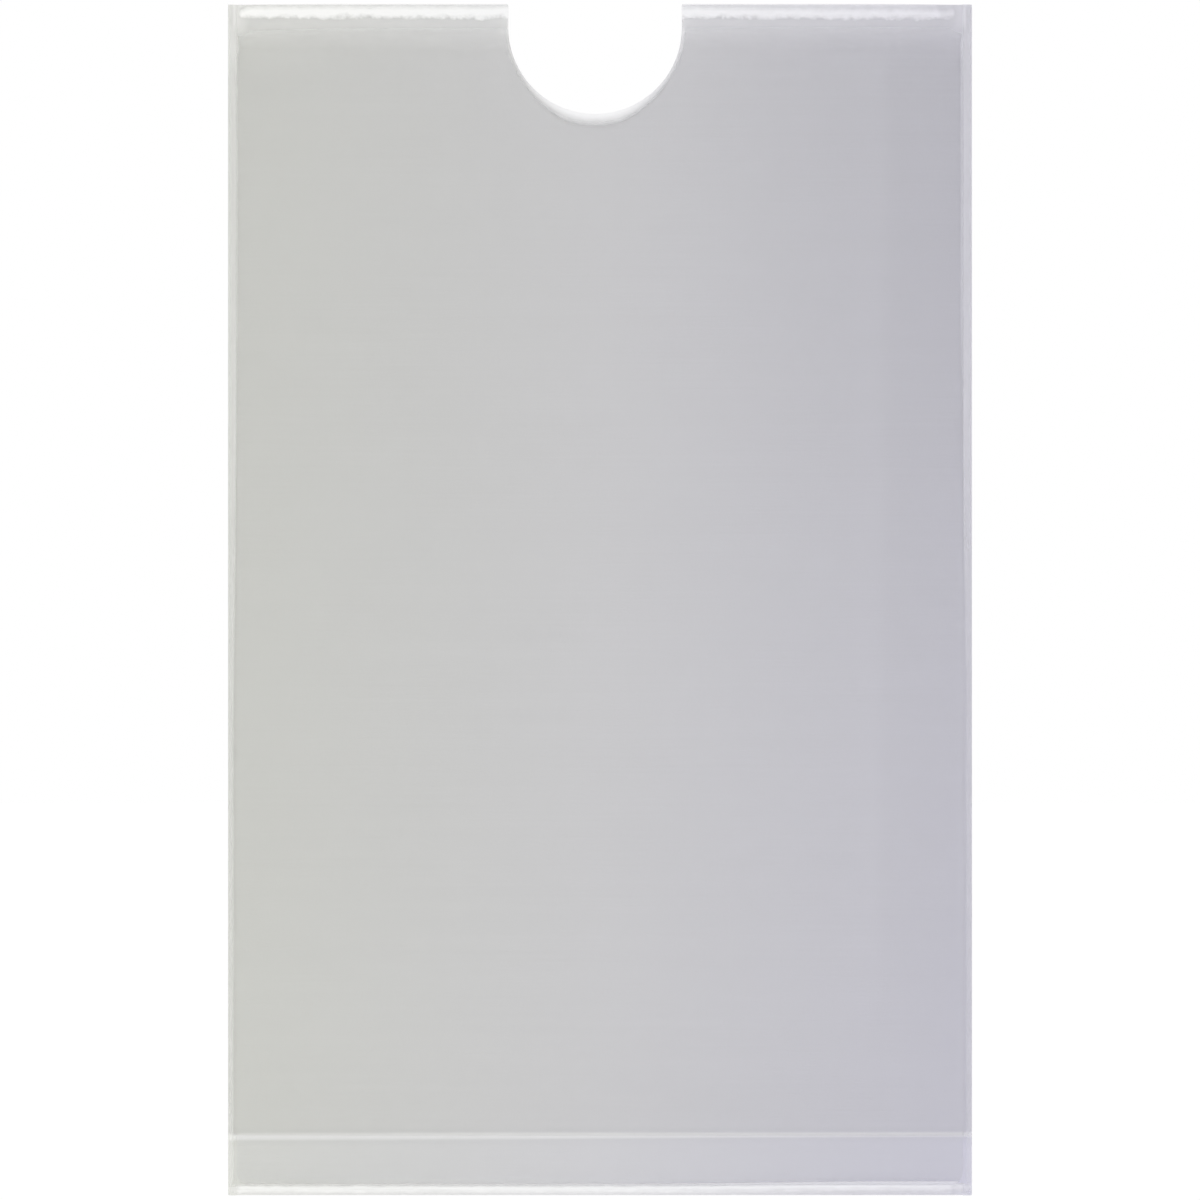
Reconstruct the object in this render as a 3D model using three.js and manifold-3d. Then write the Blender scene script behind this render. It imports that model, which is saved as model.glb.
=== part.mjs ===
// Self-adhesive card pocket: two clear films fused along three edges, open at the top, with a thumb
// notch, an adhesive back and a peel-off liner. Millimetres, +Z up towards the mouth, front at -Y.
// The origin is the middle of the pocket on the face where the adhesive meets its liner.

import * as THREE from 'three';
import { mergeVertices } from 'three/addons/utils/BufferGeometryUtils.js';
import Module from 'manifold-3d';

const wasm = await Module();
wasm.setup();

// Driving dimensions

const pocketWidth = 60;
const pocketHeight = 96;

const filmThickness = 0.2;
const adhesiveThickness = 0.05;
const linerThickness = 0.1;

// How far the front film stands off the back film, and how far from the seams it takes to get there
const cardSpace = 0.5;
const sideRise = 7;
const bottomRise = 10;

const leftWeldWidth = 0.7;
const rightWeldWidth = 0.75;
const bottomWeldWidth = 0.85;
// How far the molten bead of a seam stands proud of the two films
const beadHeight = 0.12;
const cornerRadius = 1;

const notchRadius = 7;
const notchDepth = 8.8;
// The punch landed a little left of the middle, and the front film's notch ends a little lower
const notchOffset = -0.4;
const frontNotchDrop = 0.7;

// The rolled lip along the front film's mouth
const lipHeight = 1;
const lipFlare = 0.35;
const lipFade = 2.5;

// The strip of liner below the crease, with no adhesive behind it
const liftTabHeight = 4.8;

// Longest straight facet on a round outline
const facet = 0.45;

// Levels through the stack, from the liner's outer face to the front film's

const linerOuter = linerThickness;
const adhesiveBack = 0;
const backFilmOuter = adhesiveBack - adhesiveThickness;
const backFilmInner = backFilmOuter - filmThickness;
const frontFilmOuter = backFilmInner - filmThickness;
const fusedThickness = backFilmOuter - frontFilmOuter;

// Edges of the pocket and of the clear window inside its seams

const left = -pocketWidth / 2;
const right = pocketWidth / 2;
const bottom = -pocketHeight / 2;
const mouth = pocketHeight / 2;
const windowLeft = left + leftWeldWidth;
const windowRight = right - rightWeldWidth;
const windowBottom = bottom + bottomWeldWidth;
const crease = bottom + liftTabHeight;

const backNotch = { x: notchOffset, z: mouth - notchDepth + notchRadius };
const frontNotch = { x: notchOffset, z: backNotch.z - frontNotchDrop };

// Materials

const clearFilm = new THREE.MeshStandardMaterial({
  color: 0xc6c6c8,
  roughness: 0.18,
  metalness: 0,
  transparent: true,
  opacity: 0.35,
});
const fusedFilm = new THREE.MeshStandardMaterial({ color: 0xd8d8dc, roughness: 0.3, metalness: 0 });
const glue = new THREE.MeshStandardMaterial({
  color: 0xcfcfcb,
  roughness: 0.4,
  metalness: 0,
  transparent: true,
  opacity: 0.4,
});
const linerFilm = new THREE.MeshStandardMaterial({ color: 0xc4c4c6, roughness: 0.45, metalness: 0 });

// Solids and booleans

function solidOf(geometry) {
  const plain = geometry.clone();
  plain.deleteAttribute('normal');
  plain.deleteAttribute('uv');
  const merged = mergeVertices(plain, 1e-5);
  return new wasm.Manifold(
    new wasm.Mesh({
      numProp: 3,
      vertProperties: new Float32Array(merged.getAttribute('position').array),
      triVerts: new Uint32Array(merged.getIndex().array),
    }),
  );
}

function geometryOf(solid) {
  const mesh = solid.getMesh();
  const geometry = new THREE.BufferGeometry();
  geometry.setAttribute('position', new THREE.BufferAttribute(new Float32Array(mesh.vertProperties), 3));
  geometry.setIndex(new THREE.BufferAttribute(new Uint32Array(mesh.triVerts), 1));
  geometry.computeVertexNormals();
  return geometry;
}

// Extrusions: a flat sheet facing -Y, and a bar along X or Z

function extrude(shape, length) {
  return new THREE.ExtrudeGeometry(shape, { depth: length, bevelEnabled: false });
}

function flatSheet(outline, backFace, thickness) {
  const toFront = new THREE.Matrix4().makeBasis(
    new THREE.Vector3(1, 0, 0),
    new THREE.Vector3(0, 0, 1),
    new THREE.Vector3(0, -1, 0),
  );
  return extrude(outline, thickness).applyMatrix4(toFront).translate(0, backFace, 0);
}

function barAlongX(section, from, to) {
  const toSide = new THREE.Matrix4().makeBasis(
    new THREE.Vector3(0, 1, 0),
    new THREE.Vector3(0, 0, 1),
    new THREE.Vector3(1, 0, 0),
  );
  return extrude(section, to - from).applyMatrix4(toSide).translate(from, 0, 0);
}

function barAlongZ(section, from, to) {
  return extrude(section, to - from).translate(0, 0, from);
}

// Outlines in the pocket's own plane, X across and Z up

function arc(x, z, radius, from, to) {
  const steps = Math.max(3, Math.ceil((Math.abs(to - from) * radius) / facet));
  const points = [];
  for (let step = 0; step <= steps; step += 1) {
    const angle = from + ((to - from) * step) / steps;
    points.push(new THREE.Vector2(x + radius * Math.cos(angle), z + radius * Math.sin(angle)));
  }
  return points;
}

function notchedTop(leftEdge, rightEdge, notch) {
  return [
    new THREE.Vector2(rightEdge, mouth),
    new THREE.Vector2(notch.x + notchRadius, mouth),
    ...arc(notch.x, notch.z, notchRadius, 0, -Math.PI),
    new THREE.Vector2(notch.x - notchRadius, mouth),
    new THREE.Vector2(leftEdge, mouth),
  ];
}

// The clear window between the seams, with the round bottom corners that the seams fill
function windowOutline(notch) {
  const low = windowBottom + cornerRadius;
  return new THREE.Shape([
    ...arc(windowLeft + cornerRadius, low, cornerRadius, Math.PI, 1.5 * Math.PI),
    ...arc(windowRight - cornerRadius, low, cornerRadius, 1.5 * Math.PI, 2 * Math.PI),
    ...notchedTop(windowLeft, windowRight, notch),
  ]);
}

// The adhesive and the liner run out to the pocket's edges, and end at the crease
function backingOutline() {
  return new THREE.Shape([
    new THREE.Vector2(left, crease),
    new THREE.Vector2(right, crease),
    ...notchedTop(left, right, backNotch),
  ]);
}

// Front film: lifted between its seams like a shallow pillow, with its mouth rolled outwards

function standOff(x, z) {
  const fromSide = Math.min(x - windowLeft, windowRight - x);
  const across = THREE.MathUtils.smoothstep(fromSide, 0, sideRise);
  const along = THREE.MathUtils.smoothstep(z, windowBottom, windowBottom + bottomRise);
  const rolled = THREE.MathUtils.clamp((z - mouth + lipHeight) / lipHeight, 0, 1) ** 2;
  const unseamed = THREE.MathUtils.smoothstep(fromSide, 0, lipFade);
  return cardSpace * across * along + lipFlare * rolled * unseamed;
}

// Evenly spread values from one place up to, but not including, the next
function spread(from, to, count) {
  return Array.from({ length: count }, (_, step) => from + ((to - from) * step) / count);
}

function liftedSheet() {
  const spare = filmThickness;
  const columns = [
    windowLeft - spare,
    ...spread(windowLeft, windowLeft + sideRise, 7),
    ...spread(windowLeft + sideRise, windowRight - sideRise, 4),
    ...spread(windowRight - sideRise, windowRight, 7),
    windowRight,
    windowRight + spare,
  ];
  const rows = [
    windowBottom - spare,
    ...spread(windowBottom, windowBottom + bottomRise, 7),
    ...spread(windowBottom + bottomRise, mouth - lipHeight, 6),
    ...spread(mouth - lipHeight, mouth, 4),
    mouth,
    mouth + spare,
  ];
  const acrossCount = columns.length - 1;
  const upCount = rows.length - 1;
  const sheet = new THREE.BoxGeometry(acrossCount, 1, upCount, acrossCount, 1, upCount);
  const position = sheet.getAttribute('position');
  for (let index = 0; index < position.count; index += 1) {
    const x = columns[Math.round(position.getX(index) + acrossCount / 2)];
    const z = rows[Math.round(position.getZ(index) + upCount / 2)];
    const face = position.getY(index) > 0 ? backFilmInner : frontFilmOuter;
    position.setXYZ(index, x, face - standOff(x, z), z);
  }
  return sheet;
}

function frontPanelGeometry() {
  const clearance = 1;
  const reach = fusedThickness + cardSpace + lipFlare + 2 * clearance;
  const cutter = flatSheet(windowOutline(frontNotch), clearance, reach);
  return geometryOf(solidOf(liftedSheet()).intersect(solidOf(cutter)));
}

// Seams: both films melted into one bead, flat on the adhesive side and rounded over on the front

function beadSection(inner, outer, toPlane) {
  const crest = (inner + outer) / 2;
  const face = backFilmOuter - fusedThickness;
  const section = new THREE.Shape();
  section.moveTo(...toPlane(inner, backFilmOuter));
  section.lineTo(...toPlane(outer, backFilmOuter));
  section.lineTo(...toPlane(outer, backFilmOuter - fusedThickness / 2));
  section.bezierCurveTo(
    ...toPlane(outer, face - beadHeight),
    ...toPlane(crest, face - 1.5 * beadHeight),
    ...toPlane(inner, face),
  );
  section.closePath();
  return section;
}

function sideWeldGeometry(inner, outer) {
  return barAlongZ(beadSection(inner, outer, (x, y) => [x, y]), bottom, mouth);
}

// The bottom seam lies between the side seams, and climbs them a little where its ends fill the corners
function bottomWeldGeometry() {
  const low = windowBottom + cornerRadius;
  const outline = new THREE.Shape([
    new THREE.Vector2(windowLeft, bottom),
    new THREE.Vector2(windowRight, bottom),
    ...arc(windowRight - cornerRadius, low, cornerRadius, 0, -0.5 * Math.PI),
    ...arc(windowLeft + cornerRadius, low, cornerRadius, -0.5 * Math.PI, -Math.PI),
  ]);
  const films = flatSheet(outline, backFilmOuter, fusedThickness);
  const bead = barAlongX(beadSection(windowBottom, bottom, (z, y) => [y, z]), windowLeft, windowRight);
  const fillets = new THREE.BoxGeometry(windowRight - windowLeft, fusedThickness, cornerRadius);
  fillets.translate(
    (windowLeft + windowRight) / 2,
    (backFilmOuter + frontFilmOuter) / 2,
    windowBottom + cornerRadius / 2,
  );
  const corners = solidOf(films).intersect(solidOf(fillets));
  return geometryOf(solidOf(bead).add(corners));
}

function tabOutline() {
  return new THREE.Shape([
    new THREE.Vector2(left, bottom),
    new THREE.Vector2(right, bottom),
    new THREE.Vector2(right, crease),
    new THREE.Vector2(left, crease),
  ]);
}

// Assembly: the liner hangs from its last held line at the mouth, and the tab from its crease

function piece(name, geometry, material) {
  const mesh = new THREE.Mesh(geometry, material);
  mesh.name = name;
  return mesh;
}

const pocket = new THREE.Group();
pocket.add(
  piece('front_panel', frontPanelGeometry(), clearFilm),
  piece('back_panel', flatSheet(windowOutline(backNotch), backFilmOuter, filmThickness), clearFilm),
  piece('left_side_weld', sideWeldGeometry(windowLeft, left), fusedFilm),
  piece('right_side_weld', sideWeldGeometry(windowRight, right), fusedFilm),
  piece('bottom_weld', bottomWeldGeometry(), fusedFilm),
  piece('adhesive_layer', flatSheet(backingOutline(), adhesiveBack, adhesiveThickness), glue),
);

const tabFold = new THREE.Group();
tabFold.position.set(0, linerOuter, crease - mouth);
const tab = piece('finger_lift_tab', flatSheet(tabOutline(), linerOuter, linerThickness), linerFilm);
tab.position.set(0, -linerOuter, -crease);
tabFold.add(tab);

const linerPeel = new THREE.Group();
linerPeel.position.set(0, adhesiveBack, mouth);
const liner = piece('release_liner', flatSheet(backingOutline(), linerOuter, linerThickness), linerFilm);
liner.position.set(0, -adhesiveBack, -mouth);
linerPeel.add(liner, tabFold);

const cardPocket = new THREE.Group();
cardPocket.add(pocket, linerPeel);

export default cardPocket;
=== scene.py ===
import math
from contextlib import contextmanager

import bmesh
import bpy
from bpy.props import FloatProperty, FloatVectorProperty, IntProperty, PointerProperty
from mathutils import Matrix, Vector


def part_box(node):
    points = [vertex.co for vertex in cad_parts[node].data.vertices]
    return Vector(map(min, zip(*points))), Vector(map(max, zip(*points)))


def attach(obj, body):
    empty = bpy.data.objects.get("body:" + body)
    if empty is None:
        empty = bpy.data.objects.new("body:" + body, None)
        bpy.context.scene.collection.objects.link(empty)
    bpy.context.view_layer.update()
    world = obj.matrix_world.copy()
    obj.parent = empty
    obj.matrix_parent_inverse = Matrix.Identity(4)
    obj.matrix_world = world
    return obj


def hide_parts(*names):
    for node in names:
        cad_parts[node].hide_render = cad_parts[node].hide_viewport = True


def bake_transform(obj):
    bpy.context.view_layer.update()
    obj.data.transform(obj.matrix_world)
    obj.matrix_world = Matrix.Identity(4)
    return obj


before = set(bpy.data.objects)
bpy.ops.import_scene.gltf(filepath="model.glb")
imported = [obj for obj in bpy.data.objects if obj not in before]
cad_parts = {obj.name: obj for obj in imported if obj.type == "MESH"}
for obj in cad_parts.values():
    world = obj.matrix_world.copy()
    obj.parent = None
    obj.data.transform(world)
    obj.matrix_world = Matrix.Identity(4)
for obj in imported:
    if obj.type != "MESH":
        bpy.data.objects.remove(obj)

bl_info = {
    "name": "Card Pocket",
    "version": (1, 0, 0),
    "blender": (4, 5, 0),
    "location": "View3D > Sidebar > Card Pocket",
    "description": "Models a self-adhesive card pocket of clear film with a peel-off liner",
    "category": "Object",
}

MM = 0.001
X, Y, Z = range(3)  # where a place's three numbers stand
PHOTO_WIDTH = 1200  # pixels
PIXELS_PER_MM = 12.4
TINY = 0.001 * MM  # points that are nearer to each other count as one place
NEAR_EDGE = 1 * MM  # how far from an edge of the window its narrow faces are looked for
OUTER_SIDE = 0.4 * MM  # faces nearer to the pocket's outline than this are a seam's outer side
TOOL_REACH = 5 * MM  # how far a cutting tool stands out in front of the films and behind them
FACE_TO_FRONT = math.pi / 2
SMOOTH_ANGLE = math.radians(35)
WHITE = (1, 1, 1)
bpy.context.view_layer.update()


def linear(red, green, blue):
    """A display colour, each channel 0 to 255, as the linear colour that shaders use.

    The numbers are those of the sRGB curve.
    """

    def channel(value):
        level = value / 255
        return level / 12.92 if level <= 0.04045 else ((level + 0.055) / 1.055) ** 2.4

    return tuple(channel(value) for value in (red, green, blue))


def length(name, description, default):
    """A size in metres that a user can change."""
    return FloatProperty(
        name=name, description=description, default=default, min=0, precision=5, subtype="DISTANCE"
    )


def share(name, description, default):
    """A number from 0 to 1 that a user can change."""
    return FloatProperty(
        name=name, description=description, default=default, min=0, max=1, subtype="FACTOR"
    )


def power(name, description, default):
    """A light's power in watts that a user can change."""
    return FloatProperty(name=name, description=description, default=default, min=0, unit="POWER")


def colour(name, description, default):
    """A linear colour that a user can change."""
    return FloatVectorProperty(
        name=name, description=description, default=default, min=0, max=1, size=3, subtype="COLOR"
    )


class Places:
    """Where the films, seams and liner lie, read from the frame's own boxes, in metres."""

    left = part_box("left_side_weld")[0].x
    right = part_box("right_side_weld")[1].x
    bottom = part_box("bottom_weld")[0].z
    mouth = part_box("back_panel")[1].z
    window_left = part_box("back_panel")[0].x
    window_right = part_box("back_panel")[1].x
    window_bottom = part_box("back_panel")[0].z
    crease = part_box("finger_lift_tab")[1].z
    back_film_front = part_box("back_panel")[0].y
    back_film_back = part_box("back_panel")[1].y
    front_film_front = back_film_front - (back_film_back - back_film_front)
    bead_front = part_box("left_side_weld")[0].y
    adhesive_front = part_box("adhesive_layer")[0].y
    adhesive_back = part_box("adhesive_layer")[1].y
    liner_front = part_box("release_liner")[0].y
    liner_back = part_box("release_liner")[1].y


class PocketSizes(bpy.types.PropertyGroup):
    """Sizes of the pocket that the frame's boxes don't give."""

    layer_gap: length("Layer gap", "Air left between layers that lie on each other", 0.01 * MM)
    stand_off: length("Stand-off", "How far the front film stands off the back film", 0.5 * MM)
    side_rise: length("Side rise", "Width beside a seam in which the front film rises", 7 * MM)
    bottom_rise: length("Bottom rise", "Height above the bottom seam of the same rise", 10 * MM)
    lip_height: length("Lip height", "Height of the rolled lip at the mouth", 1 * MM)
    lip_flare: length("Lip flare", "How far the lip rolls out", 0.3 * MM)
    lip_fade: length("Lip fade", "Width beside a seam in which the lip flattens", 2.5 * MM)
    lip_wander: length("Lip wander", "How unevenly the hot cut left the lip", 0.06 * MM)
    notch_radius: length("Notch radius", "Radius of the thumb notch", 7 * MM)
    notch_depth: length("Notch depth", "Depth of the back film's notch", 8.8 * MM)
    notch_shift: length("Notch shift", "How far left of the middle the punch landed", 0.4 * MM)
    front_notch_drop: length("Front notch drop", "How much lower the front film's notch ends", 0.7 * MM)
    corner_radius: length("Corner radius", "Radius of the window's bottom corners", 1 * MM)
    bead_round: length("Bead round", "Radius of a seam's outer edge", 0.3 * MM)
    peel_length: length("Peel length", "Length of liner that bends as it is peeled", 12 * MM)
    cell: length("Cell", "Size of the front film's mesh cells", 1 * MM)
    round_segments: IntProperty(
        name="Round segments", description="Segments of the notch's full circle", default=160, min=16
    )


class PocketColours(bpy.types.PropertyGroup):
    """Colours and finishes of the pocket."""

    # The liner's tone, darker and bluer towards the right: partly its own tint, partly painted shade.
    liner_left: colour("Liner, left", "Liner colour at the left edge", linear(229, 230, 223))
    liner_middle: colour("Liner, middle", "Liner colour in the middle", linear(226, 225.6, 229.3))
    liner_right: colour("Liner, right", "Liner colour at the right edge", linear(214, 212.6, 228))
    # The white of the seams, lip, notch crescent, crease and cut edges: partly the film's own whitening,
    # partly painted highlight.
    edge_left: colour("White, left", "Colour of whitened film at the left", linear(254, 254, 251))
    edge_middle: colour("White, middle", "Colour of whitened film in the middle", linear(251, 251, 252))
    edge_right: colour("White, right", "Colour of whitened film at the right", linear(242, 241, 248))
    film: colour("Film haze", "Colour of the light that the clear film scatters", linear(226, 226, 228))
    film_tint: colour("Film tint", "Light that passes one face of the film", (0.985, 0.985, 0.986))
    glue: colour("Adhesive", "Colour of the light that the adhesive scatters", linear(225, 225, 218))
    glue_tint: colour("Adhesive tint", "Light that passes the adhesive", (0.959, 0.958, 0.952))
    film_haze: share("Film haze share", "Share of light that one face of the film scatters", 0.012)
    glue_haze: share("Adhesive haze share", "Share that the adhesive scatters", 0.02)
    # How much the seams scatter: partly the weld's own white, partly painted highlight.
    left_seam_high: share("Left seam, high", "Share scattered by the left seam's upper half", 0.3)
    left_seam_low: share("Left seam, low", "Share scattered by the left seam's lower half", 0.24)
    left_seam_end: share("Left seam, end", "Share that the left seam's end at the mouth adds", 0.14)
    right_seam_high: share("Right seam, high", "Share scattered by the right seam's upper half", 0.34)
    right_seam_low: share("Right seam, low", "Share scattered by the right seam's lower half", 0.14)
    right_seam_end: share("Right seam, end", "Share that the right seam's end at the mouth adds", 0.02)


class StudioSettings(bpy.types.PropertyGroup):
    """The camera, the lights and the floor."""

    frame_width: length(
        "Frame width", "Width of the picture at the pocket", PHOTO_WIDTH / PIXELS_PER_MM * MM
    )
    lens: FloatProperty(name="Lens", description="Focal length, in millimetres", default=200, min=1)
    sensor: FloatProperty(name="Sensor", description="Sensor width, in millimetres", default=36, min=1)
    floor_drop: length("Floor drop", "Height of the held pocket above the floor", 60 * MM)
    floor_size: length("Floor size", "Width of the floor", 6)
    key_power: power("Key", "Power of the key light", 1.65)
    fill_power: power("Fill", "Power of the fill light", 0.8)
    light_size: length("Light size", "Width of the soft lights", 1.5)
    sky_strength: share("Sky", "Strength of the surrounding light", 0.88)
    clear_faces: IntProperty(
        name="Clear faces", description="Faces of clear film that a ray may pass", default=24, min=8
    )


def sizes():
    return bpy.context.scene.card_pocket_sizes


def colours():
    return bpy.context.scene.card_pocket_colours


def studio():
    return bpy.context.scene.card_pocket_studio


# Modelling helpers


def only(obj):
    """Makes one object the only one selected, and the active one."""
    bpy.ops.object.select_all(action="DESELECT")
    obj.select_set(True)
    bpy.context.view_layer.objects.active = obj


@contextmanager
def editing(obj):
    """Edit mode on one object."""
    only(obj)
    bpy.ops.object.mode_set(mode="EDIT")
    yield
    bpy.ops.object.mode_set(mode="OBJECT")


def named(name):
    """Names the object that was just added, and puts its place, turn and scale into its mesh."""
    obj = bpy.context.object
    only(obj)
    bpy.ops.object.transform_apply(location=True, rotation=True, scale=True)
    obj.name = name
    obj.data.name = name
    return obj


def block(name, low, high):
    """A box between two corners."""
    low, high = Vector(low), Vector(high)
    bpy.ops.object.select_all(action="DESELECT")
    bpy.ops.mesh.primitive_cube_add(size=1, location=(low + high) / 2)
    bpy.context.object.scale = high - low
    return named(name)


def pick(obj, test, kind):
    """In edit mode, selects the vertices, edges or faces that pass a test, and no others.

    kind is VERT, EDGE or FACE.
    """
    bpy.ops.mesh.select_mode(type=kind)
    bpy.ops.mesh.select_all(action="DESELECT")
    mesh = bmesh.from_edit_mesh(obj.data)
    items = {"VERT": mesh.verts, "EDGE": mesh.edges, "FACE": mesh.faces}[kind]
    found = [item for item in items if test(item)]
    if not found:
        raise RuntimeError(f"nothing to select on {obj.name}")
    for item in found:
        item.select_set(True)
    mesh.select_flush_mode()
    bmesh.update_edit_mesh(obj.data)


def cut_line(height):
    """In edit mode, cuts a level line of edges round the mesh."""
    bpy.ops.mesh.select_all(action="SELECT")
    bpy.ops.mesh.bisect(plane_co=(0, 0, height), plane_no=(0, 0, 1))


def apply_modifier(obj, kind, **settings):
    """Adds a modifier, gives it its settings and applies it."""
    only(obj)
    bpy.ops.object.modifier_add(type=kind)
    modifier = obj.modifiers[-1]
    for key, value in settings.items():
        setattr(modifier, key, value)
    bpy.ops.object.modifier_apply(modifier=modifier.name)


def cut(obj, tool, operation):
    """Cuts an object with another, which is used up."""
    apply_modifier(obj, "BOOLEAN", operation=operation, solver="EXACT", object=tool)
    bpy.data.objects.remove(tool)


def near(value, target):
    return abs(value - target) < TINY


def runs_along(edge, axis):
    """True if an edge is parallel to an axis."""
    step = edge.verts[1].co - edge.verts[0].co
    return abs(step[axis]) > 0.999 * step.length


def middle(edge):
    return (edge.verts[0].co + edge.verts[1].co) / 2


def notch_place(drop):
    """X and Z of the middle of a notch's round end. drop is how much lower it lies than the back film's."""
    s = sizes()
    return -s.notch_shift, Places.mouth - s.notch_depth + s.notch_radius - drop


def notch_punch(drop):
    """A closed tool of the notch's outline: a cylinder whose upper half is drawn up past the mouth."""
    s = sizes()
    x, z = notch_place(drop)
    bpy.ops.object.select_all(action="DESELECT")
    bpy.ops.mesh.primitive_cylinder_add(
        vertices=s.round_segments,
        radius=s.notch_radius,
        depth=2 * TOOL_REACH,
        location=(x, 0, z),
        rotation=(FACE_TO_FRONT, 0, 0),
    )
    punch = named("punch")
    with editing(punch):
        pick(punch, lambda vertex: vertex.co.z > z + TINY, "VERT")
        bpy.ops.transform.translate(value=(0, 0, s.notch_depth))
    return punch


def window_tool():
    """A block of the clear window's outline, with round bottom corners."""
    tool = block(
        "window",
        (Places.window_left, -TOOL_REACH, Places.window_bottom),
        (Places.window_right, TOOL_REACH, Places.mouth),
    )
    with editing(tool):
        pick(
            tool,
            lambda edge: runs_along(edge, Y) and near(middle(edge).z, Places.window_bottom),
            "EDGE",
        )
        bpy.ops.mesh.bevel(offset=sizes().corner_radius, segments=10, profile=0.5)
    return tool


def finish_piece(obj, materials, body, slot_name, *nodes):
    """Gives a piece its materials and the body it moves with, and hides the frame's parts of the nodes that
    it stands for. slot_name is not used.
    """
    obj.data.materials.clear()
    for material in materials:
        obj.data.materials.append(material)
    only(obj)
    bpy.ops.object.shade_smooth_by_angle(angle=SMOOTH_ANGLE)
    if body:
        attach(obj, body)
    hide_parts(*nodes)


def coat_faces(obj, test, material):
    """Gives the faces that pass a test another of the piece's materials."""
    with editing(obj):
        pick(obj, test, "FACE")
        obj.active_material_index = obj.data.materials.find(material.name)
        bpy.ops.object.material_slot_assign()


def is_cut_edge(face):
    """True for the narrow faces at the mouth and in the notch."""
    place = face.calc_center_median()
    above = place.z > Places.mouth - sizes().notch_depth - NEAR_EDGE
    inside = Places.window_left + NEAR_EDGE < place.x < Places.window_right - NEAR_EDGE
    sideways = abs(face.normal.y) < 0.5
    upwards = face.normal.z > 0.5
    return sideways and above and (inside or upwards)


def is_join(face):
    """True for the faces where a film and a seam, or two seams, are melted into each other."""
    place = face.calc_center_median()
    by_left = place.x < Places.window_left + NEAR_EDGE
    by_right = place.x > Places.window_right - NEAR_EDGE
    by_bottom = place.z < Places.window_bottom + NEAR_EDGE
    across = Places.left + OUTER_SIDE < place.x < Places.right - OUTER_SIDE
    within = across and place.z > Places.bottom + OUTER_SIDE and place.y > Places.front_film_front
    sideways = abs(face.normal.y) < 0.35
    at_mouth = face.normal.z >= 0.99 and not by_bottom
    return sideways and within and not at_mouth and (by_left or by_right or by_bottom)


# Shader helpers


class Value:
    """A number socket that can be used in Python expressions. Each operator adds a Math node."""

    def __init__(self, shader, socket):
        self.shader = shader
        self.socket = socket

    def math(self, operation, *values):
        node = self.shader.node("ShaderNodeMath", {"operation": operation}, *values)
        return Value(self.shader, node.outputs[0])

    def __add__(self, other):
        return self.math("ADD", self, other)

    def __radd__(self, other):
        return self.math("ADD", other, self)

    def __sub__(self, other):
        return self.math("SUBTRACT", self, other)

    def __rsub__(self, other):
        return self.math("SUBTRACT", other, self)

    def __mul__(self, other):
        return self.math("MULTIPLY", self, other)

    def __rmul__(self, other):
        return self.math("MULTIPLY", other, self)

    def __truediv__(self, other):
        return self.math("DIVIDE", self, other)

    def __pow__(self, other):
        return self.math("POWER", self, other)

    def __abs__(self):
        return self.math("ABSOLUTE", self)

    def least(self, other):
        return self.math("MINIMUM", self, other)

    def most(self, other):
        return self.math("MAXIMUM", self, other)

    def clamped(self):
        """The number, kept between 0 and 1."""
        return self.least(1).most(0)

    def root(self):
        return self.math("SQRT", self)


class Shader:
    """A new material, or the world, and the nodes that its look is worked out with."""

    def __init__(self, owner):
        owner.use_nodes = True
        self.tree = owner.node_tree
        self.tree.nodes.clear()
        self.place = None

    def node(self, kind, settings=None, *values, **named_values):
        """Adds a node: its settings first, then its sockets by order or by name."""
        node = self.tree.nodes.new(kind)
        for key, value in (settings or {}).items():
            setattr(node, key, value)
        for index, value in enumerate(values):
            self.fill(node.inputs[index], value)
        for key, value in named_values.items():
            self.fill(node.inputs[key.replace("_", " ")], value)
        return node

    def fill(self, socket, value):
        if isinstance(value, Value):
            value = value.socket
        if isinstance(value, bpy.types.NodeSocket):
            self.tree.links.new(value, socket)
        else:
            socket.default_value = value

    def value(self, socket):
        return Value(self, socket)

    def across_and_up(self):
        """X and Z on the piece, in millimetres."""
        place = self.node("ShaderNodeTexCoord").outputs["Object"]
        self.place = self.node(
            "ShaderNodeVectorMath", {"operation": "SCALE"}, Vector=place, Scale=1 / MM
        ).outputs[0]
        parts = self.node("ShaderNodeSeparateXYZ", None, self.place).outputs
        return self.value(parts["X"]), self.value(parts["Z"])

    def fade(self, value, start, end):
        """0 where a value is at start or before, 1 at end or past it, and smooth between."""
        node = self.node(
            "ShaderNodeMapRange",
            {"interpolation_type": "SMOOTHSTEP"},
            Value=value,
            From_Min=start,
            From_Max=end,
        )
        return self.value(node.outputs[0])

    def noise(self, stretch, detail=3.0):
        """Noise of -1 to 1. stretch is how many waves a millimetre holds along X, Y and Z."""
        place = self.node(
            "ShaderNodeVectorMath", {"operation": "MULTIPLY"}, self.place, stretch
        ).outputs[0]
        node = self.node("ShaderNodeTexNoise", None, Vector=place, Scale=1.0, Detail=detail)
        return self.value(node.outputs[0]) * 2 - 1

    def mix(self, factor, first, second):
        """A colour between two colours."""
        node = self.node("ShaderNodeMix", {"data_type": "RGBA"})
        self.fill(node.inputs["Factor"], factor)
        self.fill(node.inputs[6], first)
        self.fill(node.inputs[7], second)
        return node.outputs[2]

    def scaled(self, factor, tone):
        """A colour times a number."""
        node = self.node("ShaderNodeVectorMath", {"operation": "SCALE"}, Vector=tone, Scale=factor)
        return node.outputs[0]

    def bump(self, height, distance):
        """A normal that follows a height of -1 to 1, times a distance in metres."""
        return self.node("ShaderNodeBump", None, Height=height, Distance=distance).outputs[0]

    def surface(self, shader):
        out = self.node("ShaderNodeOutputMaterial")
        self.tree.links.new(shader, out.inputs["Surface"])


def rgba(tone):
    return (*tone, 1)


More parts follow.
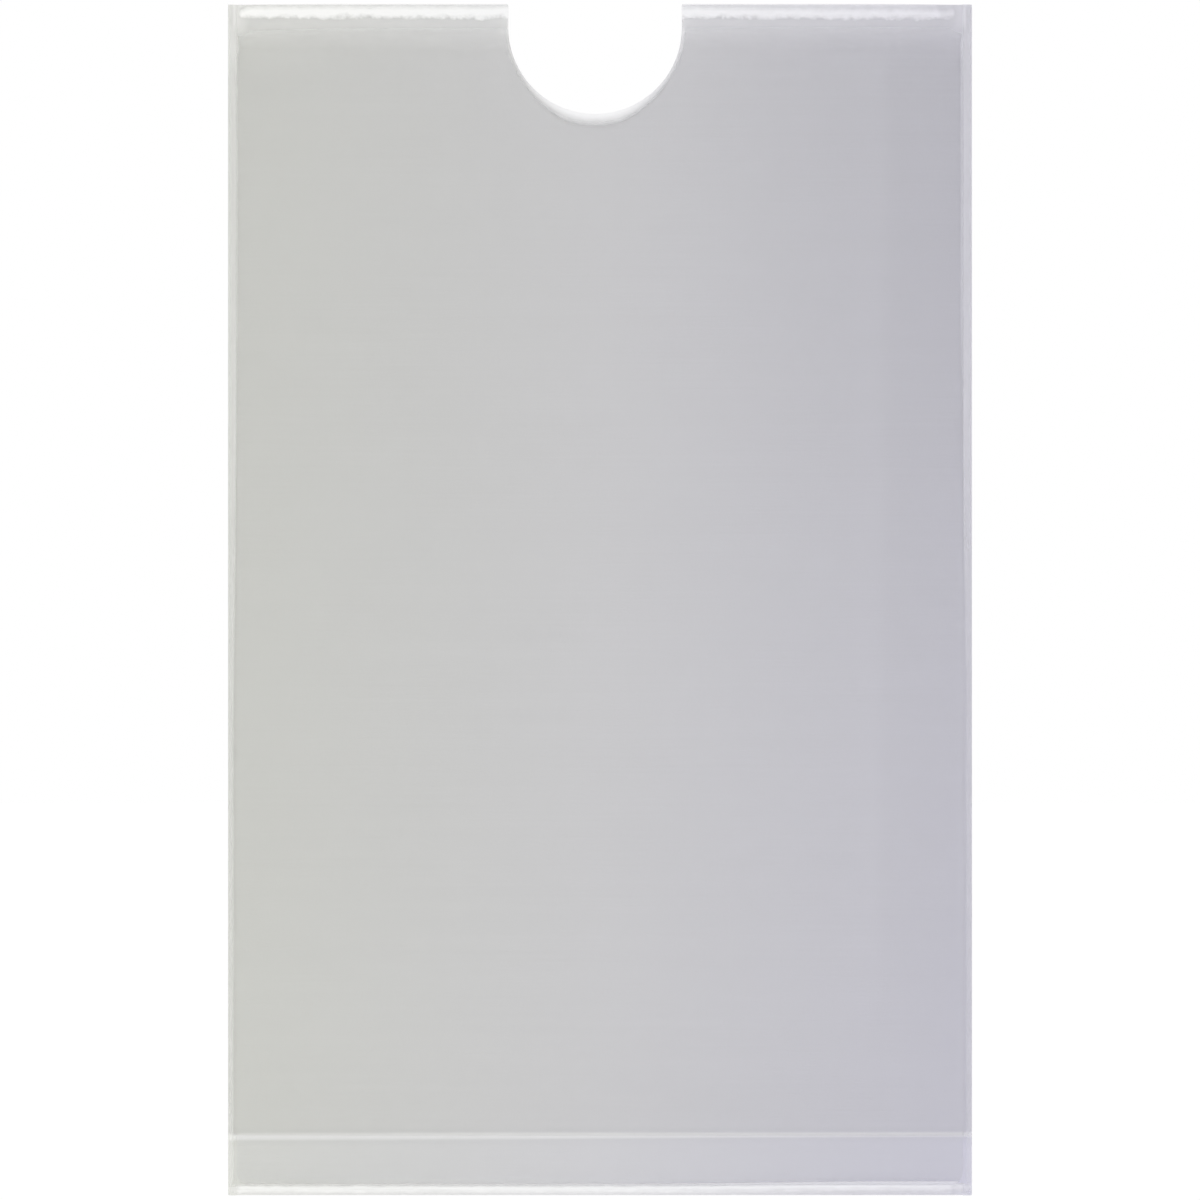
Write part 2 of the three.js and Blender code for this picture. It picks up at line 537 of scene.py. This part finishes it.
def new_shader(name):
    material = bpy.data.materials.new(name)
    return material, Shader(material)


class Across:
    """Where looks change from left to right, as the start and end of a fade in millimetres of X."""

    right_half = (0, 26)
    past_middle = (-2, 26)
    along_crease = (-10, 20)


def crease_mark(shader, x, z):
    """1 on the fine line where the liner is creased and the adhesive ends, 0 away from it.

    The line was cut a little out of level, and it is narrower towards the right.
    """
    slope = 0.0032
    level_at = 2
    off = abs(z - Places.crease / MM - slope * (x - level_at))
    return 1 - shader.fade(off * (1 + 0.35 * shader.fade(x, *Across.along_crease)), 0.1, 0.4)


def notch_distance(x, z):
    """Distance in millimetres from the edge of the back film's notch, on the piece."""
    centre_x, centre_z = (place / MM for place in notch_place(0))
    across = x - centre_x
    down = (z - centre_z).least(0)
    return (across * across + down * down).root() - sizes().notch_radius / MM


def from_sides(x):
    """Distances in millimetres from the clear window's left and right edges."""
    return x - Places.window_left / MM, Places.window_right / MM - x


def on_each_face(white, bend):
    """The share that each of a film's faces scatters, to look as white as given over the grey liner."""
    return white.clamped() ** bend


def added_to_haze(white):
    """The film's own haze, and in what it lets through, a share that is scattered too."""
    haze = colours().film_haze
    return haze + (1 - haze) * white


def see_through(shader, haze, tint, tone, roughness, normal):
    """A face of clear film: it mirrors more at a glance, scatters a share, and lets the rest through."""
    head_on = 0.04
    facing = shader.value(shader.node("ShaderNodeLayerWeight", None, Blend=0.5).outputs["Facing"])
    mirror = head_on + (1 - head_on) * facing**5
    clear = shader.node("ShaderNodeBsdfTransparent", None, Color=rgba(tint))
    gloss = shader.node(
        "ShaderNodeBsdfGlossy", None, Color=rgba(WHITE), Roughness=roughness, Normal=normal
    )
    film = shader.node("ShaderNodeMixShader", None, mirror, clear.outputs[0], gloss.outputs[0])
    # The scattered share: the film's own haze, with the painted light and painted highlights that some films
    # are given.
    haze_and_painted_light = shader.node("ShaderNodeBsdfDiffuse", None, Color=tone)
    shown = shader.node("ShaderNodeMixShader", None, haze, film.outputs[0], haze_and_painted_light.outputs[0])
    shader.surface(shown.outputs[0])


def from_left_to_right(shader, x, left, middle_tone, right):
    """A tone that changes from edge to edge, with one for the middle."""
    over = (x - Places.left / MM) / ((Places.right - Places.left) / MM)
    first = shader.mix((over * 2).clamped(), rgba(left), rgba(middle_tone))
    return shader.mix((over * 2 - 1).clamped(), first, rgba(right))


def white_tone(shader, x):
    """The tone of whitened film and of painted highlight, warmer at the left and cooler at the right."""
    c = colours()
    return from_left_to_right(shader, x, c.edge_left, c.edge_middle, c.edge_right)


def film_tone(shader, x, white, pace):
    """The tone of film that whitens, and of painted light and highlight on it: pace is how soon it turns from
    the film's own to white.
    """
    return shader.mix((white * pace).clamped(), rgba(colours().film), white_tone(shader, x))


def melted_surface(shader, x, haze, uneven, drawn):
    """The surface of a fused seam, uneven and drawn along its length."""
    haze = haze.clamped()
    normal = shader.bump(uneven + 0.4 * drawn, 0.03 * MM)
    roughness = 0.16 + 0.04 * drawn
    see_through(shader, haze, colours().film_tint, white_tone(shader, x), roughness, normal)


def front_film_material():
    """Clear calendered film with faint streaks, and lighter where it meets the seams: painted light against
    the shade that the seams cast on the liner.
    """
    c = colours()
    material, shader = new_shader("clear_film_front")
    x, z = shader.across_and_up()
    streaks = shader.noise((0.02, 0, 1.6), 1.0)
    from_left, from_right = from_sides(x)
    from_bottom = z - Places.window_bottom / MM
    high = shader.fade(z, 8, 30)
    right = shader.fade(x, *Across.right_half)
    # Painted light: a narrow lighter band beside the side seams, high up, and along the bottom seam, against
    # the shade that the seams cast on the liner.
    by_side = 0.2 * high * (1 - shader.fade(from_left.least(from_right - 0.1), -0.05, 0.2))
    by_bottom = (0.4 + 0.1 * right) * (1 - shader.fade(from_bottom - 0.22 * right, -0.02, 0.14))
    haze_and_painted_light = by_side.most(by_bottom)
    haze = c.film_haze * (1 + 0.6 * streaks) + haze_and_painted_light
    tone = film_tone(shader, x, haze_and_painted_light, 8)
    ripple = shader.noise((0.05, 0.05, 0.05), 1.0)
    normal = shader.bump(ripple, 0.02 * MM)
    roughness = 0.1 + 0.02 * streaks
    see_through(shader, haze, c.film_tint, tone, roughness, normal)
    return material


def back_film_material():
    """Clear film with a soft white crescent by its notch that the front film leaves bare: partly whitening
    from the punch, partly a painted glint of the cut edge.
    """
    c = colours()
    material, shader = new_shader("clear_film_back")
    x, z = shader.across_and_up()
    patches = shader.noise((1.2, 0, 1.2), 2.0)
    from_centre = x - notch_place(0)[0] / MM
    low = 1 - shader.fade(abs(from_centre), 1.5, 6.5)
    left = 1 - shader.fade(from_centre, -6.5, -4)
    reach = 0.36 + 0.66 * low + 0.1 * patches
    away = notch_distance(x, z) / reach
    # The crescent's white: partly from the punch, partly a painted glint.
    white = (0.3 - 0.16 * left + 0.7 * low) * (1 - shader.fade(away, 0.06, 1))
    haze = added_to_haze(on_each_face(white, 0.42))
    tone = film_tone(shader, x, white, 12)
    normal = shader.bump(patches, 0.01 * MM)
    roughness = 0.12 + 0.3 * white
    see_through(shader, haze, c.film_tint, tone, roughness, normal)
    return material


def lip_white(shader, x, from_mouth, wander, blotches):
    """How white the lip is, its hot-cut whitening and a painted highlight together: ragged below, greyer at
    its rolled edge, at its ends and to the right.
    """
    low = sizes().lip_height / MM
    right = shader.fade(x, *Across.past_middle)
    from_left, from_right = from_sides(x)
    rounded = 0.2 - 0.2 * shader.fade(from_left, 0.2, 1.4)
    start = from_mouth + 0.1 * blotches - 0.25 * right - rounded
    rolled = 0.2 + 0.12 * right
    white = rolled + (1 - rolled) * shader.fade(start, 0.03, 0.56)
    ragged = from_mouth + 0.35 * wander + 0.3 * blotches
    white = white * (1 - shader.fade(ragged, low - 0.28, low + 0.34 + 0.1 * right))
    white = white * (1 + 0.05 * blotches - (0.24 - 0.35 * wander) * right)
    left_end = shader.fade(from_left + 0.25 * wander, 0, 0.5)
    right_end = 1 - 0.4 * shader.fade(from_right + 0.5 * wander, 2.2, 1.7)
    return white * left_end * right_end * shader.fade(from_right, 0.4, 0.9)


def lip_veil(shader, x, from_mouth):
    """The haze that thins out below the lip, stronger in the corners and beside the seams: partly the film's
    haze, partly painted light against the shade that the lip casts on the liner.
    """
    low = sizes().lip_height / MM
    right = shader.fade(x, *Across.past_middle)
    from_left, from_right = from_sides(x)
    from_side = from_left.least(from_right)
    under = 1 - shader.fade(from_mouth, low - 0.2, low + 3.1)
    corner = 1 - shader.fade(from_side, 0, 1.2)
    corner = (0.2 - 0.07 * right) * corner * (1 - shader.fade(from_mouth, low + 0.6, low + 2))
    by_side = 0.35 - 0.35 * shader.fade(from_side, 0, 0.3)
    thick = 0.37 - 0.03 * shader.fade(x, -27, -20)
    return (thick * under + corner).most(by_side)


def lip_material():
    """The hot-cut lip of the front film, white and ragged, partly its own whitening and partly a painted
    highlight where it rolls out, with a veil of haze below it.
    """
    c = colours()
    material, shader = new_shader("rolled_lip")
    x, z = shader.across_and_up()
    wander = shader.noise((0.55, 0, 0.4), 3.0)
    blotches = shader.noise((1.1, 0, 1.6), 2.0)
    from_mouth = Places.mouth / MM - z
    # The lip's white: partly the hot cut's whitening, partly a painted highlight.
    white = on_each_face(lip_white(shader, x, from_mouth, wander, blotches), 0.5)
    # The veil below the lip: partly haze, partly painted light.
    veil = lip_veil(shader, x, from_mouth)
    haze = added_to_haze(white.most(veil))
    tone = film_tone(shader, x, white + veil, 30)
    normal = shader.bump(wander + blotches, 0.03 * MM)
    roughness = 0.12 + 0.25 * white
    see_through(shader, haze, c.film_tint, tone, roughness, normal)
    return material


def edge_material(name):
    """The narrow cut edge of a film, made whiter as a painted edge highlight."""
    material, shader = new_shader(name)
    x, _ = shader.across_and_up()
    drag = shader.noise((3.0, 3.0, 3.0), 2.0)
    haze = 0.45 + 0.1 * drag
    tone = shader.scaled(0.97 + 0.03 * drag, white_tone(shader, x))
    normal = shader.bump(drag, 0.01 * MM)
    see_through(shader, haze, colours().film_tint, tone, roughness=0.2, normal=normal)
    return material


def join_material():
    """A surface that isn't seen, because the two sides of it are one piece of plastic."""
    material, shader = new_shader("melted_join")
    clear = shader.node("ShaderNodeBsdfTransparent", None, Color=rgba(WHITE))
    shader.surface(clear.outputs[0])
    return material


def bottom_white(shader, x, z):
    """How white the bottom seam is, its weld whitening and a painted highlight together, streaked along its
    length, greyer at its outer edge and its ends.

    Also returns the streaks and blotches that it is made with.
    """
    drawn = shader.noise((0.12, 0, 3.0), 3.0)
    blotches = shader.noise((0.7, 0, 1.8), 3.0)
    up = z - Places.bottom / MM
    right = shader.fade(x, *Across.right_half)
    body = shader.fade(up + 0.1 * blotches - 0.12 * right, 0.08, 0.42)
    inner = 0.18 * shader.fade(up, 0.45, 0.75)
    core = 0.64 - 0.12 * right + body * (0.2 - 0.04 * right + 0.2 * drawn + 0.14 * blotches) + inner
    top = 1 - 0.8 * shader.fade(up + 0.1 * blotches - 0.22 * right, 0.54, 0.9)
    left_end = 0.5 + 0.5 * shader.fade(x + 0.3 * blotches, -29.6, -28.9)
    right_end = 1 - 0.25 * shader.fade(x, 28.1, 28.5) - 0.25 * shader.fade(x, 29.0, 29.6)
    return core * top * left_end * right_end * (1 - shader.fade(up, 0.95, 1.15)), drawn, blotches


def side_seam_material(name, outer, inner, upper, lower, end):
    """A fused side seam: whiter than the films, partly its weld's own white and partly a painted highlight,
    streaked along its length, clear at its inner edge.

    outer and inner are its edges' X. upper and lower are how white it is in those halves, and end is
    what its end at the mouth adds. The white part is narrower in the lower half.
    """
    material, shader = new_shader(name)
    x, z = shader.across_and_up()
    drawn = shader.noise((3.0, 0, 0.12), 3.0)
    uneven = shader.noise((0.6, 0, 0.35), 3.0)
    width = abs(inner - outer) / MM
    inwards = abs(x - outer / MM)
    mouth = Places.mouth / MM
    high = shader.fade(z, -12, 18)
    by_mouth = shader.fade(z, mouth - 6.5, mouth - 3)
    core = lower + (upper - lower) * high + end * by_mouth
    reach = width - 0.3 + 0.3 * high + 0.3 * by_mouth
    body = 1 - shader.fade(inwards + 0.06 * uneven, reach - 0.12, reach + 0.16)
    # The crease line carried across the seam: partly a painted glint.
    mark = 0.14 * crease_mark(shader, x, z)
    by_lip = 0.18 * shader.fade(z, mouth - 2.4, mouth - 1.2)
    by_lip = by_lip * (1 - shader.fade(width - inwards, 0.1, 0.4))
    haze = 0.02 + body * (core + 0.03 * drawn + 0.02 * uneven) + mark + by_lip
    low, _, _ = bottom_white(shader, x, z)
    melted_surface(shader, x, haze.most(low), uneven, drawn)
    return material


def bottom_seam_material():
    """The fused bottom seam, as white as bottom_white says."""
    material, shader = new_shader("fused_bottom_seam")
    x, z = shader.across_and_up()
    white, drawn, blotches = bottom_white(shader, x, z)
    melted_surface(shader, x, white, blotches, drawn)
    return material


def adhesive_material():
    """Clear adhesive: faintly warm, a little uneven where it was rolled on."""
    c = colours()
    material, shader = new_shader("clear_adhesive")
    shader.across_and_up()
    rolled = shader.noise((0.03, 0, 0.6), 1.0)
    haze = c.glue_haze * (1 + 0.6 * rolled)
    normal = shader.bump(rolled, 0.005 * MM)
    roughness = 0.2 + 0.04 * rolled
    see_through(shader, haze, c.glue_tint, rgba(c.glue), roughness, normal)
    return material


def liner_material():
    """Siliconised grey liner film: a slow change of tone and painted shade across it, fine streaks and a pale
    crease that is partly a painted glint.
    """
    c = colours()
    material, shader = new_shader("liner_film")
    x, z = shader.across_and_up()
    tone = from_left_to_right(shader, x, c.liner_left, c.liner_middle, c.liner_right)
    bottom = Places.bottom / MM
    mouth = Places.mouth / MM
    up = shader.fade(z, bottom, mouth)
    middle_up = shader.fade(z, bottom, -3)
    to_left = 1 - shader.fade(x, -16, 16)
    clouds = shader.noise((0.04, 0, 0.04), 2.0)
    streaks = shader.noise((0.05, 0, 2.2), 3.0)
    grain = shader.noise((5.0, 0, 5.0), 2.0)
    right = shader.fade(x, *Across.past_middle)
    # Painted shade: darker towards the top, most at the top right.
    shading = up * (0.085 + 0.12 * right) + middle_up * (0.034 + 0.035 * to_left)
    level = 1.008 - shading + 0.008 * clouds + 0.012 * streaks + 0.012 * grain
    beside_crease = 0.42
    dip = crease_mark(shader, x, z + beside_crease).most(crease_mark(shader, x, z - beside_crease))
    # Painted light: the liner lighter just above the bottom seam and near the mouth, against the shade that
    # the seam and the lip cast.
    painted_light_by_seam = 1 - shader.fade(z, bottom + 0.9, bottom + 1.6)
    by_mouth = shader.fade(z, mouth - 6, mouth - 2.4)
    tone = shader.scaled(level - 0.03 * dip + 0.06 * painted_light_by_seam + 0.05 * by_mouth, tone)
    # The crease line, pale and partly a painted glint, fainter towards the right.
    pale = 0.95 - 0.13 * shader.fade(x, *Across.along_crease)
    tone = shader.mix(pale * crease_mark(shader, x, z), tone, white_tone(shader, x))
    roughness = 0.42 + 0.04 * streaks + 0.05 * grain
    normal = shader.bump(streaks + 0.4 * grain + 2.0 * clouds, 0.01 * MM)
    solid = shader.node(
        "ShaderNodeBsdfPrincipled", None, Base_Color=tone, Roughness=roughness, Normal=normal
    )
    shader.surface(solid.outputs[0])
    return material


# Pieces


class CARDPOCKET_OT_front_film(bpy.types.Operator):
    """Models the front film: lifted between its seams, rolled out at the mouth and notched"""

    bl_idname = "cardpocket.front_film"
    bl_label = "Front Film"

    smooth_passes = 16
    lip_zone = 4.5  # how far down the lip's material reaches, in cells of the mesh
    lip_foot = 1.15  # depth of the row below which nothing rolls out, in lip heights
    lip_rows = (0.85, 0.65, 0.45, 0.3, 0.15, 0.02)  # depths of the rows that do
    lip_insets = (0.3, 0.6, 1)  # steps in from each side, in widths of the lip's fade
    uneven_part = 0.9  # depth to which the lip is uneven, in lip heights
    uneven_waves = 2 * MM

    def execute(self, context):
        s = sizes()
        width = Places.window_right - Places.window_left
        height = Places.mouth - Places.window_bottom
        plane = Places.back_film_front - s.layer_gap / 2
        bpy.ops.object.select_all(action="DESELECT")
        bpy.ops.mesh.primitive_grid_add(
            x_subdivisions=round(width / s.cell),
            y_subdivisions=round(height / s.cell),
            size=1,
            location=(
                (Places.window_left + Places.window_right) / 2,
                plane,
                (Places.window_bottom + Places.mouth) / 2,
            ),
            rotation=(FACE_TO_FRONT, 0, 0),
        )
        bpy.context.object.scale = (width, height, 1)
        film = named("front_film")
        with editing(film):
            self.lift(film)
            self.roll_lip(film)
        self.make_uneven(film)
        thickness = Places.back_film_front - Places.front_film_front - s.layer_gap
        apply_modifier(film, "SOLIDIFY", thickness=thickness, offset=1)
        cut(film, window_tool(), "INTERSECT")
        cut(film, notch_punch(s.front_notch_drop), "DIFFERENCE")
        clear = front_film_material()
        lip = lip_material()
        edge = edge_material("cut_edge_front")
        join = join_material()
        finish_piece(film, [clear, lip, edge, join], "pocket", "clear_film", "front_panel")
        lip_bottom = Places.mouth - self.lip_zone * s.cell
        coat_faces(film, lambda face: face.calc_center_median().z > lip_bottom, lip)
        coat_faces(film, is_cut_edge, edge)
        coat_faces(film, is_join, join)
        return {"FINISHED"}

    def from_side(self, vertex):
        """Distance from the nearer side seam."""
        return min(vertex.co.x - Places.window_left, Places.window_right - vertex.co.x)

    def lift(self, film):
        """Lifts the middle of the film in one step, and smooths the step out into a pillow."""
        s = sizes()
        pick(
            film,
            lambda v: self.from_side(v) > s.side_rise / 2
            and v.co.z > Places.window_bottom + s.bottom_rise / 2,
            "VERT",
        )
        bpy.ops.transform.translate(value=(0, -s.stand_off, 0))
        edge = s.cell / 2
        pick(
            film,
            lambda v: self.from_side(v) > edge and v.co.z > Places.window_bottom + edge,
            "VERT",
        )
        bpy.ops.mesh.vertices_smooth(
            factor=0.5, repeat=self.smooth_passes, xaxis=False, yaxis=True, zaxis=False
        )

    def roll_lip(self, film):
        """Cuts fine rows along the mouth and rolls them out a little further at each row and step inwards."""
        s = sizes()
        rows = [Places.mouth - s.lip_height * part for part in self.lip_rows]
        for row in (Places.mouth - self.lip_foot * s.lip_height, *rows):
            cut_line(row)
        insets = [s.lip_fade * part for part in self.lip_insets]
        step = s.lip_flare / (len(rows) * len(insets))
        below = 10 * TINY
        for row in rows:
            for inset in insets:
                pick(
                    film,
                    lambda v: v.co.z > row - below and self.from_side(v) > inset,
                    "VERT",
                )
                bpy.ops.transform.translate(value=(0, -step, 0))

    def make_uneven(self, film):
        """Moves the lip in and out a little, as a hot cut does."""
        s = sizes()
        bottom = Places.mouth - self.uneven_part * s.lip_height
        only(film)
        bpy.ops.object.vertex_group_add()
        with editing(film):
            pick(film, lambda v: v.co.z > bottom and self.from_side(v) > s.lip_fade, "VERT")
            bpy.ops.object.vertex_group_assign()
        wander = bpy.data.textures.new("lip_wander", "CLOUDS")
        wander.noise_scale = self.uneven_waves
        apply_modifier(
            film,
            "DISPLACE",
            texture=wander,
            texture_coords="LOCAL",
            direction="Y",
            mid_level=0,
            strength=s.lip_wander,
            vertex_group=film.vertex_groups[0].name,
        )


class CARDPOCKET_OT_back_film(bpy.types.Operator):
    """Models the flat back film with its own notch, and the coat of adhesive on its back"""

    bl_idname = "cardpocket.back_film"
    bl_label = "Back Film"

    def execute(self, context):
        s = sizes()
        rear = Places.adhesive_back - s.layer_gap / 2
        seat = Places.adhesive_front + s.layer_gap / 2
        film = block(
            "back_film",
            (Places.left, Places.back_film_front + s.layer_gap / 2, Places.bottom),
            (Places.right, seat + s.layer_gap / 2, Places.mouth + s.cell),
        )
        cut(film, window_tool(), "INTERSECT")
        coat = block("coat", (Places.left, seat, Places.crease), (Places.right, rear, Places.mouth))
        cut(film, coat, "UNION")
        cut(film, notch_punch(0), "DIFFERENCE")
        clear = back_film_material()
        edge = edge_material("cut_edge_back")
        glue = adhesive_material()
        join = join_material()
        materials = [clear, edge, glue, join]
        finish_piece(film, materials, "pocket", "clear_film", "back_panel", "adhesive_layer")
        coat_faces(film, lambda face: near(face.calc_center_median().y, rear), glue)
        coat_faces(film, is_cut_edge, edge)
        coat_faces(film, is_join, join)
        return {"FINISHED"}


class CARDPOCKET_OT_seams(bpy.types.Operator):
    """Models the three fused seams, flat on the adhesive side and rounded over in front"""

    bl_idname = "cardpocket.seams"
    bl_label = "Seams"

    def execute(self, context):
        s = sizes()
        c = colours()
        back = Places.back_film_back - s.layer_gap / 2
        left = block(
            "left_seam",
            (Places.left, Places.bead_front, Places.bottom),
            (Places.window_left, back, Places.mouth),
        )
        right = block(
            "right_seam",
            (Places.window_right, Places.bead_front, Places.bottom),
            (Places.right, back, Places.mouth),
        )
        lower = block(
            "bottom_seam",
            (Places.window_left, Places.bead_front, Places.bottom),
            (Places.window_right, back, Places.window_bottom + s.corner_radius),
        )
        cut(lower, window_tool(), "DIFFERENCE")
        self.merge_points(lower)
        self.round_over(left, X, Places.left)
        self.round_over(right, X, Places.right)
        self.round_over(lower, Z, Places.bottom)
        left_shares = (c.left_seam_high, c.left_seam_low, c.left_seam_end)
        left_look = side_seam_material(
            "fused_left_seam", Places.left, Places.window_left, *left_shares
        )
        right_shares = (c.right_seam_high, c.right_seam_low, c.right_seam_end)
        right_look = side_seam_material(
            "fused_right_seam", Places.right, Places.window_right, *right_shares
        )
        join = join_material()
        finish_piece(left, [left_look, join], "pocket", "fused_film", "left_side_weld")
        finish_piece(right, [right_look, join], "pocket", "fused_film", "right_side_weld")
        finish_piece(lower, [bottom_seam_material(), join], "pocket", "fused_film", "bottom_weld")
        for seam in (left, right, lower):
            coat_faces(seam, is_join, join)
        return {"FINISHED"}

    def merge_points(self, seam):
        """Merges points that lie on each other, where the filled corners taper out to nothing."""
        with editing(seam):
            bpy.ops.mesh.select_all(action="SELECT")
            bpy.ops.mesh.remove_doubles(threshold=TINY)

    def round_over(self, seam, axis, outer):
        """Rounds the outer front edge of a seam widely, and its inner front edge down to the film.

        axis is the one across the seam, and outer is where the seam's outer side lies on it.
        """
        s = sizes()
        bead = Places.front_film_front - Places.bead_front
        furthest = 1.5 * s.corner_radius

        def is_outer(edge):
            place = middle(edge)
            return near(place.y, Places.bead_front) and near(place[axis], outer)

        def is_inner(edge):
            inwards = abs(middle(edge)[axis] - outer)
            in_front = all(near(v.co.y, Places.bead_front) for v in edge.verts)
            on_a_side = any(abs(face.normal.y) < 0.5 for face in edge.link_faces)
            in_reach = 1.1 * s.bead_round < inwards < furthest
            return in_front and on_a_side and in_reach and not runs_along(edge, axis)

        with editing(seam):
            pick(seam, is_outer, "EDGE")
            bpy.ops.mesh.bevel(offset=s.bead_round, segments=6, profile=0.5)
            pick(seam, is_inner, "EDGE")
            bpy.ops.mesh.bevel(offset=0.9 * bead, segments=3, profile=0.5)


class CARDPOCKET_OT_liner(bpy.types.Operator):
    """Models the peel-off liner and its lift tab, parted by the crease"""

    bl_idname = "cardpocket.liner"
    bl_label = "Liner"

    groove_width = 0.05 * MM
    bend_lines = 24

    def execute(self, context):
        s = sizes()
        material = liner_material()
        front = Places.liner_front + s.layer_gap / 2
        liner = block(
            "liner",
            (Places.left, front, Places.crease),
            (Places.right, Places.liner_back, Places.mouth),
        )
        tab = block(
            "lift_tab",
            (Places.left, front, Places.bottom),
            (Places.right, Places.liner_back, Places.crease),
        )
        self.groove(liner)
        self.groove(tab)
        self.rule(liner)
        cut(liner, notch_punch(0), "DIFFERENCE")
        finish_piece(liner, [material], None, "liner_film", "release_liner")
        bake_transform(liner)
        finish_piece(tab, [material], "tab", "liner_film", "finger_lift_tab")
        return {"FINISHED"}

    def groove(self, piece):
        """Breaks the front edge at the crease, so that the two pieces meet in a fine groove."""
        with editing(piece):
            pick(
                piece,
                lambda edge: runs_along(edge, X)
                and near(middle(edge).z, Places.crease)
                and middle(edge).y < (Places.liner_front + Places.liner_back) / 2,
                "EDGE",
            )
            bpy.ops.mesh.bevel(offset=self.groove_width, segments=3, profile=0.5)

    def rule(self, liner):
        """Cuts lines across the end that a peel would bend, so that it could bend smoothly."""
        s = sizes()
        with editing(liner):
            for step in range(1, self.bend_lines + 1):
                cut_line(Places.mouth - s.peel_length * step / self.bend_lines)


class CARDPOCKET_OT_studio(bpy.types.Operator):
    """Sets up the floor, the soft lights, the white surroundings and the camera"""

    bl_idname = "cardpocket.studio"
    bl_label = "Studio"

    key_place = (-0.45, -0.8, 0.3)
    fill_place = (0.6, -0.6, 0.1)
    nearest_seen = 0.01
    floor_tone = 0.93
    floor_drift = 0.005
    floor_glow = 1.09  # the brightness of what the camera sees in part instead of the lit floor
    glow_share = 0.7

    def execute(self, context):
        t = studio()
        self.add_floor(Places.bottom - t.floor_drop, t.floor_size)
        self.add_light("key", t.key_power, self.key_place, t.light_size)
        self.add_light("fill", t.fill_power, self.fill_place, t.light_size)
        self.add_sky(t.sky_strength)
        distance = t.frame_width * t.lens / t.sensor
        bpy.ops.object.camera_add(
            location=(0, Places.back_film_front - distance, (Places.bottom + Places.mouth) / 2),
            rotation=(FACE_TO_FRONT, 0, 0),
        )
        camera = bpy.context.object
        camera.name = "photo_camera"
        camera.data.lens = t.lens
        camera.data.sensor_width = t.sensor
        camera.data.clip_start = self.nearest_seen
        context.scene.camera = camera
        context.scene.view_settings.view_transform = "Standard"
        context.scene.cycles.transparent_max_bounces = t.clear_faces
        return {"FINISHED"}

    def add_floor(self, height, width):
        """A pale floor that keeps the pocket's shadow and looks nearly white to the camera."""
        bpy.ops.object.select_all(action="DESELECT")
        bpy.ops.mesh.primitive_plane_add(size=width, location=(0, 0, height))
        floor = named("floor")
        material, shader = new_shader("pale_floor")
        shader.across_and_up()
        drift = shader.noise((0.01, 0.01, 0), 2.0)
        tone = shader.scaled(self.floor_tone + self.floor_drift * drift, WHITE)
        seen = shader.value(shader.node("ShaderNodeLightPath").outputs["Is Camera Ray"])
        solid = shader.node("ShaderNodeBsdfDiffuse", None, Color=tone)
        white = shader.node("ShaderNodeEmission", None, rgba(WHITE), self.floor_glow)
        glow = self.glow_share * seen
        shown = shader.node("ShaderNodeMixShader", None, glow, solid.outputs[0], white.outputs[0])
        shader.surface(shown.outputs[0])
        floor.data.materials.append(material)

    def add_light(self, name, watts, place, size):
        """A soft, square light that points at the pocket."""
        aim = (-Vector(place)).to_track_quat("-Z", "Y").to_euler()
        bpy.ops.object.light_add(type="AREA", location=place, rotation=aim)
        light = bpy.context.object
        light.name = name
        light.data.energy = watts
        light.data.size = size

    def add_sky(self, strength):
        """Even light from all over, pure white where the camera or a reflection sees it."""
        world = bpy.data.worlds.new("white_surroundings")
        bpy.context.scene.world = world
        shader = Shader(world)
        paths = shader.node("ShaderNodeLightPath").outputs
        seen = shader.value(paths["Is Camera Ray"])
        for kind in ("Is Glossy Ray", "Is Transmission Ray"):
            seen = seen.most(shader.value(paths[kind]))
        level = strength + (1 - strength) * seen
        sky = shader.node("ShaderNodeBackground", None, rgba(WHITE), level)
        out = shader.node("ShaderNodeOutputWorld")
        shader.tree.links.new(sky.outputs[0], out.inputs["Surface"])


class CARDPOCKET_PT_panel(bpy.types.Panel):
    """Lists the pocket's pieces, sizes and colours"""

    bl_idname = "CARDPOCKET_PT_panel"
    bl_label = "Card Pocket"
    bl_space_type = "VIEW_3D"
    bl_region_type = "UI"
    bl_category = "Card Pocket"

    def draw(self, context):
        for operator in OPERATORS:
            self.layout.operator(operator.bl_idname)
        for group in (sizes(), colours(), studio()):
            box = self.layout.box()
            for name in group.__annotations__:
                box.prop(group, name)


OPERATORS = (
    CARDPOCKET_OT_studio,
    CARDPOCKET_OT_front_film,
    CARDPOCKET_OT_back_film,
    CARDPOCKET_OT_seams,
    CARDPOCKET_OT_liner,
)
CLASSES = (PocketSizes, PocketColours, StudioSettings, *OPERATORS, CARDPOCKET_PT_panel)


def register():
    for cls in CLASSES:
        bpy.utils.register_class(cls)
    bpy.types.Scene.card_pocket_sizes = PointerProperty(type=PocketSizes)
    bpy.types.Scene.card_pocket_colours = PointerProperty(type=PocketColours)
    bpy.types.Scene.card_pocket_studio = PointerProperty(type=StudioSettings)


def unregister():
    del bpy.types.Scene.card_pocket_studio
    del bpy.types.Scene.card_pocket_colours
    del bpy.types.Scene.card_pocket_sizes
    for cls in reversed(CLASSES):
        bpy.utils.unregister_class(cls)


def main():
    register()
    bpy.ops.cardpocket.studio()
    bpy.ops.cardpocket.front_film()
    bpy.ops.cardpocket.back_film()
    bpy.ops.cardpocket.seams()
    bpy.ops.cardpocket.liner()


if __name__ == "__main__":
    main()
